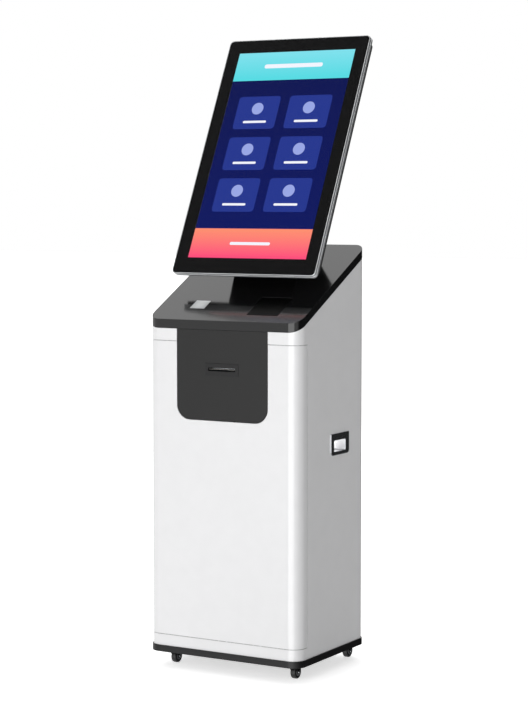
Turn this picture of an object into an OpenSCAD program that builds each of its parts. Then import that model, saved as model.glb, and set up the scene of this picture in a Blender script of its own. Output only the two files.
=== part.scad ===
// Touchscreen kiosk on casters: white steel cabinet with a front door, sloped glossy top cap,
// charcoal apron with a receipt slot, scanner window, reader pad and a tilted portrait display.
// Millimetres, +Z up, front towards -Y, floor at z = 0 under the middle of the footprint.

/* [Cabinet] */
// Width of the white cabinet
body_w = 438; // [420:1:460]
// Depth of the white cabinet
body_d = 352; // [340:1:370]
// Radius of the four upright corners
corner_r = 31; // [24:1:36]
// Sheet thickness of the shell and the door
sheet_t = 1.5; // [1.2:0.1:2]
// Height of the bottom edge of the shell
shell_z = 57; // [50:1:62]
// Slope of the cap in degrees
slope = 27.5; // [20:0.5:28]
// Height of the top front edge of the cap
cap_front_z = 889; // [860:1:910]
// Upright thickness of the cap
cap_h = 23; // [18:1:28]

/* [Door] */
// Height of the door's bottom seam
door_z0 = 85; // [75:1:95]
// Height of the door's top seam
door_z1 = 836; // [820:1:850]
// How far the door wraps round the side
door_wrap = 44; // [40:1:50]
// Gap between the door and its neighbours
door_gap = 1.5; // [1.5:0.5:3]

/* [Apron and receipt slot] */
// Width of the apron
apron_w = 262; // [240:1:280]
// Height of the apron's bottom edge
apron_z = 640; // [620:1:660]
// Radius of the apron's lower corners
apron_r = 36; // [25:1:40]
// Width of the receipt slot
slot_w = 78; // [60:1:82]
// Height of the receipt slot's centre
slot_z = 768; // [750:1:780]

/* [Display] */
// Outer width of the display
screen_w = 419; // [400:1:440]
// Outer length of the display
screen_l = 675; // [650:1:700]
// Tilt of the display from the horizontal in degrees
screen_tilt = 64; // [58:0.5:68]
// Height of the display's lower front edge
screen_z = 1001; // [990:1:1020]
// Distance of that edge behind the front face
screen_set_back = 95; // [85:1:105]
// Width of the visible picture
active_w = 346; // [330:1:355]
// Length of the visible picture
active_l = 592; // [580:1:605]

/* [Casters] */
// Radius of a caster wheel
wheel_r = 17; // [15:0.5:18]
// Half of the distance between the swivel axes across the kiosk
caster_x = 176; // [165:1:180]
// Distance of the front swivel axes behind the front face
caster_front = 50; // [45:1:60]
// Distance of the rear swivel axes ahead of the rear face
caster_rear = 28; // [28:1:40]
// Distance from a swivel axis to its wheel's axle
caster_trail = 13; // [10:0.5:14]

/* [Hidden] */
$fn = 64;

eps = 0.01;
far = 2000;
run_gap = 0.05;      // radial clearance of a turning shaft
apron_gap = 1;       // gap round the apron
rest_gap = 0.05;     // gap between parts that only touch

// Display, measured in its own frame: x across, y up along the glass, z out of the glass
frame_depth = 16.5;
glass_t = 3;
lip = 2;
ledge = 8;
tray_margin = 12;     // tray's inset at the top and the bottom
tray_side = 2;        // and at the sides
tray_depth = 8.5;
active_y = 45;

// Plinth and footprint
plinth_lip = 3;
plinth_z = 40;
screen_back = frame_depth + tray_depth;
rear_reach = screen_set_back + (screen_l - tray_margin) * cos(screen_tilt) + screen_back * sin(screen_tilt);
front_y = -(rear_reach - plinth_lip) / 2;
back_y = front_y + body_d;
mid_y = front_y + body_d / 2;
side_x = body_w / 2;
inner_x = side_x - sheet_t;
cap_base_z = cap_front_z - cap_h;
cap_skin = 3;
apron_t = 3;
cap_wall = 4;
cap_under = cap_h * cos(slope);    // thickness of the cap measured square to its top

// Door hinge: a hidden pivot behind the seam, so that the door clears the shell's edge
hinge_in = 12;
hinge_back = 16;
hinge_x = side_x - hinge_in;
hinge_y = front_y + door_wrap + hinge_back;
hinge_zs = [160, 590];
pin_r = 4;
hub_r = 7;
arm_reach = 28;
arm_t = 8;
arm_h = 24;

// Things set into the cap, measured along the slope from its front edge
scanner_at = [-104.5, 76.5];
scanner_size = [43, 39];
scanner_body = [50, 48];
reader_at = [98, 77];
reader_size = [88, 88];
reader_body = [80, 82];
body_room = [12, 12];    // added to either body for its hole in the support
foot_front = 216;      // neck's foot, as distances behind the front face
foot_rear = 307;
neck_w = 185;
neck_t = 2;
neck_seat = 0.02;      // clearance between the neck's housing and the cap
foot_mid = (foot_front + foot_rear) / 2 / cos(slope);

// Carry handles, one on each side
handle_y = front_y + 209;
handle_z = 576;
handle_size = [95, 55];
grip_size = [60, 28];
grip_drop = 4.5;

// Side lock, on the left side just behind the door's seam
lock_y0 = front_y + 64;
lock_y1 = front_y + 91;
lock_z0 = 467;
lock_z1 = 583;
lever_pivot_z = lock_z1 - 4;
lever_pivot_x = -side_x - 2;
key_y = front_y + 77.5;
key_z = 500;

// Receipt printer
bezel_size = [96, 31];
slot_h = 8;
printer_half = 46;
plate_t = 2;
platen_y = front_y + 30;
platen_z = slot_z - 9;
platen_r = 8;
roll_r = 32;
roll_y = front_y + 84;
roll_z = slot_z - 22;
spindle_r = 7;
cover_y = front_y + 130;
cover_z = slot_z + 30;

// Rear fan and mains inlet
fan_size = 92;
fan_t = 25;
fan_z = 640;
fan_bore = 43;
fan_hole = 41.25;    // half of the distance between the fan's screws
inlet_x = -120;
inlet_z = 120;
rocker_x = inlet_x + 42;

// ---------------------------------------------------------------- helpers

// Flat rectangle with round corners, centred
module rounded_rect(w, d, r) {
    square([w - 2 * r, d], center = true);
    square([w, d - 2 * r], center = true);
    for (sx = [-1, 1], sy = [-1, 1])
        translate([sx * (w / 2 - r), sy * (d / 2 - r)])
            circle(r = r);
}

// Footprint block of the cabinet, grown by `grow`, between two heights
module footprint(grow, z0, z1) {
    translate([0, mid_y, z0])
        linear_extrude(height = z1 - z0)
            rounded_rect(body_w + 2 * grow, body_d + 2 * grow, corner_r + grow);
}

// Everything above a plane that slopes like the cap and meets the front face at height z
module above_slope(z) {
    translate([0, front_y, z])
        rotate([slope, 0, 0])
            translate([-far / 2, -far / 2, 0])
                cube([far, far, far]);
}

// Frame on the cap's top: y runs up the slope from the front edge, z stands square to it
module on_slope() {
    translate([0, front_y, cap_front_z])
        rotate([slope, 0, 0])
            children();
}

// Frame on the display's glass: y runs up the glass from its lower edge, z points at the user
module on_screen() {
    translate([0, front_y + screen_set_back, screen_z])
        rotate([screen_tilt, 0, 0])
            children();
}

// Box given by its low corner and its high corner
module span(low, high) {
    translate(low)
        cube(high - low);
}

// Block on the display between two depths
module screen_block(w, l, r, z0, z1) {
    translate([0, screen_l / 2, z0])
        linear_extrude(height = z1 - z0)
            rounded_rect(w, l, r);
}

// Cylinder along x, from x0 to x1
module x_rod(r, x0, x1, y, z) {
    translate([x0, y, z])
        rotate([0, 90, 0])
            cylinder(r = r, h = x1 - x0);
}

// Cylinder along y, from y0 to y1
module y_rod(r, y0, y1, x, z) {
    translate([x, y1, z])
        rotate([90, 0, 0])
            cylinder(r = r, h = y1 - y0);
}

// Outline moved inwards by d, for a polygon listed clockwise
function unit(v) = v / norm(v);
function inward(a, b) = [unit(b - a)[1], -unit(b - a)[0]];
function inset(p, d) = [
    for (i = [0 : len(p) - 1])
        let (n0 = inward(p[(i + len(p) - 1) % len(p)], p[i]),
             n1 = inward(p[i], p[(i + 1) % len(p)]))
            p[i] + d * (n0 + n1) / (1 + n0 * n1)
];

// ---------------------------------------------------------------- cabinet

// Space that the door covers, shrunk by `gap` for the door itself
module door_space(gap) {
    span([-far / 2, front_y - 10, door_z0 + gap],
         [far / 2, front_y + door_wrap + door_gap - gap, door_z1 - gap]);
}

// Apron outline, widened by `grow`, as a block between two distances behind the front face
module apron_block(grow, y0, y1) {
    translate([0, front_y + y1, 0])
        rotate([90, 0, 0])
            linear_extrude(height = y1 - y0)
                apron_outline(grow);
}

module apron_outline(grow) {
    w = apron_w + 2 * grow;
    r = apron_r + grow;
    z = apron_z - grow;
    translate([-w / 2, z + r])
        square([w, cap_front_z - z - r]);
    translate([-w / 2 + r, z])
        square([w - 2 * r, r + eps]);
    for (side = [-1, 1])
        translate([side * (w / 2 - r), z + r])
            circle(r = r);
}

module cabinet_shell() {
    color("white")
        difference() {
            footprint(0, shell_z, cap_base_z + body_d * tan(slope) + 10);
            footprint(-sheet_t, shell_z - 1, far);
            above_slope(cap_base_z);
            door_space(0);
            apron_block(apron_gap, -10, 10);
            for (side = [-1, 1])
                grip_hole(side);
            span([-side_x - 5, lock_y0 + 2, lock_z0 + 2], [-inner_x + 5, lock_y1 - 2, lock_z1 - 2]);
            rear_openings();
        }
}

// Hole in a side for a carry handle's cup
module grip_hole(side) {
    x = side * side_x;
    span([x - 5, handle_y - grip_size[0] / 2 - 4, handle_z - grip_drop - grip_size[1] / 2 - 4],
         [x + 5, handle_y + grip_size[0] / 2 + 4, handle_z - grip_drop + grip_size[1] / 2 + 4]);
}

// Vent slots, fan grille, inlet and cable openings in the back
module rear_openings() {
    slot_len = 90;
    slot_high = 4;
    for (column = [-1, 1], row = [0 : 9])
        translate([column * 70, back_y, 860 + row * 10])
            rear_slot(slot_len, slot_high);
    for (ring = [-3 : 3])
        translate([0, back_y, fan_z + ring * 11])
            rear_slot(2 * sqrt(pow(fan_bore - 2, 2) - pow(ring * 11, 2)), 6);
    for (corner_x = [-1, 1], corner_z = [-1, 1])
        y_rod(2.2, back_y - 5, back_y + 5, corner_x * fan_hole, fan_z + corner_z * fan_hole);
    span([inlet_x - 14, back_y - 5, inlet_z - 12], [inlet_x + 14, back_y + 5, inlet_z + 12]);
    span([rocker_x - 11, back_y - 5, inlet_z - 14], [rocker_x + 11, back_y + 5, inlet_z + 14]);
    y_rod(11, back_y - 5, back_y + 5, 120, inlet_z);
}

module rear_slot(length, high) {
    cube([length, 10, high], center = true);
}

anchor_x = 130;
anchor_y = 100;
anchor_r = 5;

module anchor_holes(z0, z1) {
    for (sx = [-1, 1], sy = [-1, 1])
        translate([sx * anchor_x, mid_y + sy * anchor_y, z0])
            cylinder(r = anchor_r, h = z1 - z0);
}

module base_plate() {
    color("silver")
        difference() {
            footprint(-sheet_t, shell_z, shell_z + 3);
            anchor_holes(shell_z - 1, shell_z + 5);
        }
}

module plinth() {
    floor_t = 4;
    color("#2b2b2d")
        difference() {
            footprint(plinth_lip, plinth_z, shell_z);
            footprint(-6, plinth_z + floor_t, shell_z + 1);
            anchor_holes(plinth_z - 1, shell_z);
        }
}

module equipment_shelf() {
    z = 300;
    y0 = front_y + 110;
    y1 = back_y - corner_r - 2;
    lip_h = 20;
    color("silver") {
        difference() {
            span([-inner_x, y0, z], [inner_x, y1, z + 2]);
            for (row = [-2 : 2])
                translate([130, (y0 + y1) / 2 + row * 16, z - 1])
                    linear_extrude(height = 4)
                        rounded_rect(60, 6, 2.9);
        }
        span([-inner_x, y0, z - lip_h], [inner_x, y0 + 2, z + eps]);
        for (side = [-1, 1])
            translate([side * (inner_x - 1), (y0 + y1) / 2, z - lip_h / 2])
                cube([2, y1 - y0, lip_h + eps], center = true);
    }
}

module handle_frames() {
    color("silver")
        for (side = [-1, 1])
            translate([side * side_x, handle_y, handle_z])
                rotate([90, 0, side * 90])
                    difference() {
                        linear_extrude(height = 2.5)
                            handle_outline();
                        translate([0, -grip_drop, -1])
                            linear_extrude(height = 5)
                                rounded_rect(grip_size[0], grip_size[1], 3);
                    }
}

// Flange with softly rounded lower corners and tight upper ones
module handle_outline() {
    w = handle_size[0];
    h = handle_size[1];
    low_r = 9;
    top_r = 2;
    square([w, h - 2 * low_r], center = true);
    translate([0, (low_r - top_r) / 2])
        square([w, h - low_r - top_r], center = true);
    square([w - 2 * low_r, h], center = true);
    for (side = [-1, 1]) {
        translate([side * (w / 2 - low_r), low_r - h / 2])
            circle(r = low_r);
        translate([side * (w / 2 - top_r), h / 2 - top_r])
            circle(r = top_r);
        translate([side * (w / 2 - low_r / 2 - top_r / 2), h / 2 - top_r])
            square([low_r - top_r, 2 * top_r], center = true);
    }
}

module handle_cups() {
    depth = 26;
    wall = 1.5;
    color("silver")
        for (side = [-1, 1])
            translate([side * side_x, handle_y, handle_z - grip_drop])
                rotate([90, 0, side * 90])
                    difference() {
                        translate([0, 0, -depth])
                            linear_extrude(height = depth)
                                rounded_rect(grip_size[0] + 2 * wall + 2, grip_size[1] + 2 * wall + 2, 4);
                        translate([0, 0, -depth + wall])
                            linear_extrude(height = depth)
                                rounded_rect(grip_size[0] + 2, grip_size[1] + 2, 3.5);
                    }
}

// ---------------------------------------------------------------- cap and apron

module cap_layer(grow, z_low, z_high) {
    difference() {
        footprint(grow, z_low - 20, z_high + body_d * tan(slope) + 40);
        above_slope(z_high);
        difference() {
            footprint(grow + 1, z_low - 30, far);
            above_slope(z_low);
        }
    }
}

// Four bolt positions of the neck's foot, on the slope
module at_foot_bolts() {
    for (sx = [-1, 1], sy = [-1, 1])
        translate([sx * 65, foot_mid + sy * 32, 0])
            children();
}

module slope_hole(at, size, z0, z1) {
    translate([at[0], at[1], (z0 + z1) / 2])
        cube([size[0], size[1], z1 - z0], center = true);
}

module top_cap() {
    color("#28282a")
        difference() {
            union() {
                difference() {
                    cap_layer(0, cap_base_z, cap_front_z);
                    cap_layer(-cap_wall, cap_base_z - 1, cap_front_z - cap_skin / cos(slope));
                }
                on_slope()
                    at_foot_bolts()
                        translate([0, 0, -cap_under])
                            cylinder(r = 8, h = cap_under - 1);
            }
            on_slope() {
                slope_hole(scanner_at, scanner_size, -6, 5);
                slope_hole(reader_at, reader_size, -6, 5);
                translate([0, foot_mid, -6])
                    cylinder(r = 20, h = 12);
                at_foot_bolts()
                    translate([0, 0, -cap_under - 5])
                        cylinder(r = 3.3, h = 40);
            }
        }
}

module cap_support() {
    plate = 2.5;
    grow = -sheet_t - 0.5;
    color("silver")
        difference() {
            cap_layer(grow, cap_base_z - plate / cos(slope), cap_base_z);
            apron_block(apron_gap, -10, apron_t + 0.5);
            on_slope() {
                slope_hole(scanner_at, scanner_body + body_room, -60, 5);
                slope_hole(reader_at, reader_body + body_room, -60, 5);
                translate([0, foot_mid, -60])
                    cylinder(r = 22, h = 70);
                at_foot_bolts()
                    translate([0, 0, -60])
                        cylinder(r = 3.3, h = 70);
            }
        }
}

module front_apron() {
    color("#39393b")
        difference() {
            apron_block(0, 0, apron_t);
            span([-far / 2, front_y - 5, cap_base_z], [far / 2, front_y + 20, far]);
            span([-bezel_size[0] / 2 + 3, front_y - 5, slot_z - bezel_size[1] / 2 + 3],
                 [bezel_size[0] / 2 - 3, front_y + 20, slot_z + bezel_size[1] / 2 - 3]);
        }
}

module scanner_window() {
    pane = 2;
    color("lightgray")
        on_slope()
            translate([scanner_at[0], scanner_at[1], -pane])
                linear_extrude(height = pane)
                    rounded_rect(scanner_size[0] - 0.4, scanner_size[1] - 0.4, 0.6);
}

module scanner_module() {
    color("#222222")
        on_slope()
            translate([scanner_at[0], scanner_at[1], -48])
                difference() {
                    linear_extrude(height = 44)
                        rounded_rect(scanner_body[0], scanner_body[1], 3);
                    translate([0, 0, 30])
                        cylinder(r = 14, h = 20);
                }
}

module reader_pad() {
    pad = 3;
    sunk = 0.8;
    color("black")
        on_slope()
            translate([reader_at[0], reader_at[1], -pad - sunk])
                linear_extrude(height = pad)
                    rounded_rect(reader_size[0] - 0.6, reader_size[1] - 0.6, 1);
}

module reader_module() {
    color("#1d4a2c")
        on_slope()
            translate([reader_at[0], reader_at[1], -19])
                linear_extrude(height = 14)
                    rounded_rect(reader_body[0], reader_body[1], 4);
}

// ---------------------------------------------------------------- door

module door_panel() {
    color("white")
        intersection() {
            difference() {
                footprint(0, shell_z, far);
                footprint(-sheet_t, shell_z - 1, far + 1);
                apron_block(apron_gap, -10, 10);
            }
            door_space(door_gap);
        }
}

stiff_w = 2 * (hinge_x - arm_reach);
stiff_z0 = 110;
stiff_z1 = 624;

module door_stiffener() {
    bar = 22;
    depth = 12;
    color("silver")
        difference() {
            span([-stiff_w / 2, front_y + sheet_t, stiff_z0],
                 [stiff_w / 2, front_y + sheet_t + depth, stiff_z1]);
            span([-stiff_w / 2 + bar, front_y, stiff_z0 + bar],
                 [stiff_w / 2 - bar, front_y + 30, stiff_z1 - bar]);
            span([-stiff_w / 2 + 2, front_y + sheet_t + 2, stiff_z0 + 2],
                 [stiff_w / 2 - 2, front_y + sheet_t + depth + 1, stiff_z0 + bar - 2]);
            span([-stiff_w / 2 + 2, front_y + sheet_t + 2, stiff_z1 - bar + 2],
                 [stiff_w / 2 - 2, front_y + sheet_t + depth + 1, stiff_z1 - 2]);
        }
}

// Bent arms that carry the door round the edge of the shell
module hinge_arms() {
    color("dimgray")
        for (z = hinge_zs)
            difference() {
                union() {
                    translate([hinge_x, hinge_y, z])
                        cylinder(r = hub_r, h = arm_h);
                    span([hinge_x - arm_reach, hinge_y - 3, z], [hinge_x, hinge_y + 3, z + arm_h]);
                    span([hinge_x - arm_reach, front_y + sheet_t, z],
                         [hinge_x - arm_reach + arm_t, hinge_y + 3, z + arm_h]);
                }
                translate([hinge_x, hinge_y, z - 1])
                    cylinder(r = pin_r + run_gap, h = arm_h + 2);
            }
}

module hinge_brackets() {
    ear = 3;
    slack = 0.5;
    color("dimgray")
        for (z = hinge_zs)
            difference() {
                union() {
                    span([inner_x - 2, hinge_y - 10, z - ear - slack - 8],
                         [inner_x, hinge_y + 16, z + arm_h + ear + slack + 8]);
                    for (low = [z - ear - slack, z + arm_h + slack]) {
                        translate([hinge_x, hinge_y, low])
                            cylinder(r = hub_r + 1, h = ear);
                        span([hinge_x, hinge_y - hub_r - 1, low],
                             [inner_x - 1, hinge_y + hub_r + 1, low + ear]);
                    }
                }
                translate([hinge_x, hinge_y, z - 20])
                    cylinder(r = pin_r, h = arm_h + 40);
            }
}

module hinge_pins() {
    over = 5;
    color("silver")
        for (z = hinge_zs) {
            translate([hinge_x, hinge_y, z - over])
                cylinder(r = pin_r, h = arm_h + 2 * over);
            translate([hinge_x, hinge_y, z + arm_h + over - eps])
                cylinder(r = pin_r + 1.5, h = 2);
        }
}

keeper_z0 = 512;
keeper_z1 = 535;
keeper_x = -side_x + 25;

// Stepped bracket on the door that reaches behind the seam to meet the latch cam
module door_keeper() {
    color("silver") {
        span([-inner_x, front_y + 34, keeper_z0], [-inner_x + 2, front_y + 42, keeper_z1]);
        span([-inner_x, front_y + 40, keeper_z0], [keeper_x + 2, front_y + 42, keeper_z1]);
        span([keeper_x, front_y + 40, keeper_z0], [keeper_x + 2, front_y + 88, keeper_z1]);
        span([keeper_x - 5, front_y + 86, keeper_z0], [keeper_x + 2, front_y + 88, keeper_z1]);
    }
}

// ---------------------------------------------------------------- side lock

lever_w = 21;
lever_z0 = lock_z0 + 6;
lever_out = 4.5;
ear_w = 3;

module lock_housing() {
    color("#111111")
        difference() {
            union() {
                span([-side_x - 1.2, lock_y0, lock_z0], [-side_x, lock_y1, lock_z1]);
                span([-side_x - eps, lock_y0 + 2.3, lock_z0 + 2.3],
                     [-side_x + 15, lock_y1 - 2.3, lock_z1 - 2.3]);
                for (y = [lock_y0, lock_y0 + lever_w - ear_w])
                    span([-side_x - lever_out, y, lever_pivot_z - 4], [-side_x, y + ear_w, lock_z1]);
            }
            span([-side_x - 10, lock_y0 + ear_w, lock_z0 + 8],
                 [-side_x + 8, lock_y0 + lever_w - ear_w, lock_z1 + 1]);
            y_rod(1.5, lock_y0 - 5, lock_y1, lever_pivot_x, lever_pivot_z);
            x_rod(8 + run_gap, -side_x - 5, -side_x + 20, key_y, key_z);
        }
}

// Grip that lifts outwards at its lower end
module lock_lever() {
    knuckle_r = 2.4;
    neck_low = lever_pivot_z - 5;
    y0 = lock_y0;
    y1 = lock_y0 + lever_w;
    color("#77777a")
        difference() {
            union() {
                span([-side_x - lever_out, y0, lever_z0], [-side_x - 1.4, y1, neck_low]);
                span([-side_x - lever_out, y0 + ear_w + 0.3, lever_z0 + 3],
                     [-side_x - 1, y1 - ear_w - 0.3, lever_pivot_z]);
                y_rod(knuckle_r, y0 + ear_w + 0.3, y1 - ear_w - 0.3, lever_pivot_x, lever_pivot_z);
            }
            y_rod(1.5 + run_gap, y0 - 1, y1 + 1, lever_pivot_x, lever_pivot_z);
        }
}

module lever_pin() {
    color("silver")
        y_rod(1.5, lock_y0, lock_y0 + lever_w, lever_pivot_x, lever_pivot_z);
}

module key_cylinder() {
    color("silver")
        difference() {
            x_rod(8, -side_x + 2, -side_x + 19, key_y, key_z);
            span([-side_x, key_y - 0.8, key_z - 4], [-side_x + 8, key_y + 0.8, key_z + 4]);
        }
}

module latch_cam() {
    color("dimgray")
        difference() {
            union() {
                x_rod(9, -side_x + 19, -side_x + 22, key_y, key_z);
                span([-side_x + 19, key_y - 30, key_z - 6], [-side_x + 22, key_y, key_z + 6]);
            }
            x_rod(1.6, -side_x + 10, -side_x + 30, key_y, key_z);
        }
}

// ---------------------------------------------------------------- receipt printer

module slot_bezel() {
    proud = 1.2;
    sleeve = 9;
    color("#1a1a1b")
        difference() {
            union() {
                span([-bezel_size[0] / 2, front_y - proud, slot_z - bezel_size[1] / 2],
                     [bezel_size[0] / 2, front_y, slot_z + bezel_size[1] / 2]);
                span([-bezel_size[0] / 2 + 3.2, front_y - eps, slot_z - bezel_size[1] / 2 + 3.2],
                     [bezel_size[0] / 2 - 3.2, front_y + sleeve, slot_z + bezel_size[1] / 2 - 3.2]);
            }
            span([-slot_w / 2, front_y - 5, slot_z - slot_h / 2],
                 [slot_w / 2, front_y + 20, slot_z + slot_h / 2]);
        }
}

module printer_chassis() {
    y0 = front_y + 3;
    y1 = front_y + 136;
    z0 = roll_z - 40;
    z1 = slot_z + 26;
    color("#2f3236")
        difference() {
            union() {
                for (side = [-1, 1])
                    translate([side * (printer_half + plate_t / 2), (y0 + y1) / 2, (z0 + z1) / 2])
                        cube([plate_t, y1 - y0, z1 - z0], center = true);
                span([-printer_half - eps, y0 + 9, z0], [printer_half + eps, y1, z0 + plate_t]);
                span([-printer_half - eps, y1 - plate_t, z0], [printer_half + eps, y1, z1 - 8]);
                span([-printer_half - eps, y0 + 9, z0], [printer_half + eps, y0 + 9 + plate_t, slot_z - 16]);
                for (side = [-1, 1])
                    x_rod(2, side * (printer_half - 2.5) - 2.5 - eps, side * (printer_half - 2.5) + 2.5 + eps,
                          cover_y, cover_z - 8);
            }
            x_rod(2.5 + run_gap, -60, 60, platen_y, platen_z);
            x_rod(spindle_r, -60, 60, roll_y, roll_z);
        }
}

module print_head() {
    color("#9aa0a6")
        difference() {
            span([-printer_half, front_y + 16, slot_z + 1], [printer_half, front_y + 40, slot_z + 12]);
            span([-far, front_y + 20, slot_z + 6], [far, front_y + 36, slot_z + 20]);
        }
}

module platen_roller() {
    color("#222222")
        union() {
            x_rod(platen_r, -41, 41, platen_y, platen_z);
            x_rod(2.5, -49, 49, platen_y, platen_z);
        }
}

module roll_spindle() {
    color("silver")
        x_rod(spindle_r, -48, 48, roll_y, roll_z);
}

module paper_roll() {
    color("white")
        difference() {
            x_rod(roll_r, -39.5, 39.5, roll_y, roll_z);
            x_rod(spindle_r + run_gap, -50, 50, roll_y, roll_z);
        }
}

// Lid over the paper roll, hinged at its rear edge
module printer_cover() {
    lid_z = slot_z + 27;
    color("#3c4046")
        difference() {
            union() {
                span([-printer_half - 2, front_y + 44, lid_z], [printer_half + 2, cover_y - 6, lid_z + 2]);
                span([-printer_half + 1, cover_y - 6 - eps, lid_z],
                     [printer_half - 1, cover_y + 3, lid_z + 2]);
                span([-12, front_y + 40, lid_z], [12, front_y + 44 + eps, lid_z + 2]);
                for (side = [-1, 1])
                    translate([side * (printer_half - 3), cover_y, (lid_z + cover_z - 8) / 2])
                        cube([4, 8, lid_z - cover_z + 8 + eps], center = true);
                for (side = [-1, 1])
                    x_rod(4, side * (printer_half - 3) - 2, side * (printer_half - 3) + 2,
                          cover_y, cover_z - 8);
            }
            x_rod(2 + run_gap, -60, 60, cover_y, cover_z - 8);
        }
}

// ---------------------------------------------------------------- display and neck

module screen_glass() {
    w = screen_w - 2 * lip - 0.4;
    l = screen_l - 2 * lip - 0.4;
    color("#101012")
        on_screen()
            screen_block(w, l, 10, -glass_t - 0.5, -0.5);
}

module lcd_panel() {
    color("#1c2f6b")
        on_screen()
            translate([0, active_y + active_l / 2 - screen_l / 2, 0])
                screen_block(active_w + 14, active_l + 14, 2, -glass_t - 0.5 - 9, -glass_t - 0.5);
}

module screen_frame() {
    color("silver")
        on_screen()
            difference() {
                screen_block(screen_w, screen_l, 12, -frame_depth, 0);
                screen_block(screen_w - 2 * lip, screen_l - 2 * lip, 10, -glass_t - 0.5, 1);
                screen_block(screen_w - 2 * ledge, screen_l - 2 * ledge, 6, -frame_depth - 1, 1);
            }
}

module screen_tray() {
    w = screen_w - 2 * tray_side;
    l = screen_l - 2 * tray_margin;
    wall = 2;
    color("#2a2a2c")
        on_screen()
            difference() {
                screen_block(w, l, 12, -screen_back, -frame_depth);
                screen_block(w - 2 * wall, l - 2 * wall, 10, -screen_back + wall, -frame_depth + 1);
                at_vesa()
                    translate([0, 0, -screen_back - 1])
                        cylinder(r = 2.2, h = 10);
                for (row = [-5 : 5])
                    translate([0, screen_l - 70 + row * 7, -screen_back])
                        cube([150, 3, 10], center = true);
            }
}

vesa_y = 250;
vesa_plate = 4;

module at_vesa() {
    for (sx = [-1, 1], sy = [-1, 1])
        translate([sx * 50, vesa_y + sy * 50, 0])
            children();
}

module display_board() {
    color("#0f5a34")
        on_screen() {
            translate([0, vesa_y + 120, -20])
                cube([180, 90, 1.6], center = true);
            for (chip = [-1, 0, 1])
                translate([chip * 50, vesa_y + 125, -17.7])
                    cube([24, 24, 3], center = true);
        }
}

// Side outline of the neck: y behind the front face, then height
function back_point(s) = [
    screen_set_back + s * cos(screen_tilt) + (screen_back + rest_gap) * sin(screen_tilt),
    screen_z + s * sin(screen_tilt) - (screen_back + rest_gap) * cos(screen_tilt)
];
neck_outline = [
    back_point(34),
    back_point(370),
    [foot_rear, cap_front_z + foot_rear * tan(slope) + neck_seat],
    [foot_front, cap_front_z + foot_front * tan(slope) + neck_seat],
];

// Upright slab with an outline in the y-z plane, between two x positions
module side_slab(x0, x1, outline) {
    translate([x0, front_y, 0])
        rotate([90, 0, 90])
            linear_extrude(height = x1 - x0)
                polygon(outline);
}

module neck_housing() {
    hollow = inset(neck_outline, neck_t);
    color("#3a3a3c")
        difference() {
            side_slab(-neck_w / 2, neck_w / 2, neck_outline);
            side_slab(-neck_w / 2 + neck_t, neck_w / 2 - neck_t, hollow);
            on_screen()
                translate([0, 200, -screen_back])
                    cube([neck_w - 2 * neck_t - 4, 250, 20], center = true);
            on_slope()
                translate([0, foot_mid, 0])
                    cube([neck_w - 2 * neck_t - 4, 88, 20], center = true);
        }
}

// Welded bracket inside the neck: foot plate, two webs and a display plate
module neck_bracket() {
    plate = vesa_plate;
    webs = inset(neck_outline, neck_t + plate + 1);
    color("#8c8f94")
        difference() {
            union() {
                on_slope()
                    translate([0, foot_mid, plate / 2])
                        cube([160, 84, plate], center = true);
                on_screen()
                    translate([0, vesa_y, -screen_back - plate / 2])
                        cube([130, 130, plate], center = true);
                for (x = [-42, 39])
                    side_slab(x, x + 3, webs);
                on_slope()
                    for (side = [-1, 1])
                        translate([side * 40.5, foot_mid, plate + 2])
                            cube([3, 70, 6], center = true);
                on_screen()
                    for (side = [-1, 1])
                        translate([side * 40.5, vesa_y, -screen_back - plate - 2])
                            cube([3, 120, 6], center = true);
            }
            on_screen()
                at_vesa()
                    translate([0, 0, -screen_back - plate - 5])
                        cylinder(r = 2.2, h = 20);
            on_slope() {
                translate([0, foot_mid, -5])
                    cylinder(r = 18, h = 12);
                at_foot_bolts()
                    translate([0, 0, -5])
                        cylinder(r = 3.3, h = 12);
            }
        }
}

module vesa_screws() {
    color("silver")
        on_screen()
            at_vesa() {
                translate([0, 0, -screen_back - vesa_plate - 1])
                    cylinder(r = 2.15, h = 10);
                translate([0, 0, -screen_back - vesa_plate - 3])
                    cylinder(r = 4, h = 3);
            }
}

module neck_bolts() {
    color("silver")
        on_slope()
            at_foot_bolts() {
                translate([0, 0, -cap_under - 8])
                    cylinder(r = 3.25, h = cap_under + 12);
                translate([0, 0, 4])
                    cylinder(r = 5.5, h = 5);
                translate([0, 0, -cap_under - 2.6 - 5])
                    cylinder(r = 5.5, h = 5);
            }
}

// ---------------------------------------------------------------- electronics

module mini_pc() {
    z = 302;
    color("#2b2e33")
        difference() {
            translate([-70, front_y + 220, z])
                linear_extrude(height = 46)
                    rounded_rect(178, 170, 10);
            for (slit = [-6 : 6])
                translate([-70 + slit * 10, front_y + 220, z + 46])
                    cube([3, 110, 6], center = true);
        }
}

module power_supply() {
    z = shell_z + 3;
    color("#b9bcc0")
        difference() {
            span([-180, front_y + 190, z], [-20, front_y + 290, z + 42]);
            for (row = [-5 : 5], column = [-3 : 3])
                translate([-100 + row * 12, front_y + 240 + column * 12, z + 40])
                    cylinder(r = 3, h = 10, $fn = 24);
        }
}

fan_y = back_y - sheet_t;

module fan_frame() {
    color("#202022")
        translate([0, fan_y, fan_z])
            rotate([90, 0, 0])
                union() {
                    difference() {
                        linear_extrude(height = fan_t)
                            rounded_rect(fan_size, fan_size, 5);
                        translate([0, 0, -1])
                            cylinder(r = fan_bore, h = fan_t + 2);
                        for (sx = [-1, 1], sy = [-1, 1])
                            translate([sx * fan_hole, sy * fan_hole, -1])
                                cylinder(r = 2.2, h = fan_t + 2);
                    }
                    translate([0, 0, fan_t - 3])
                        fan_spider();
                }
}

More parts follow.
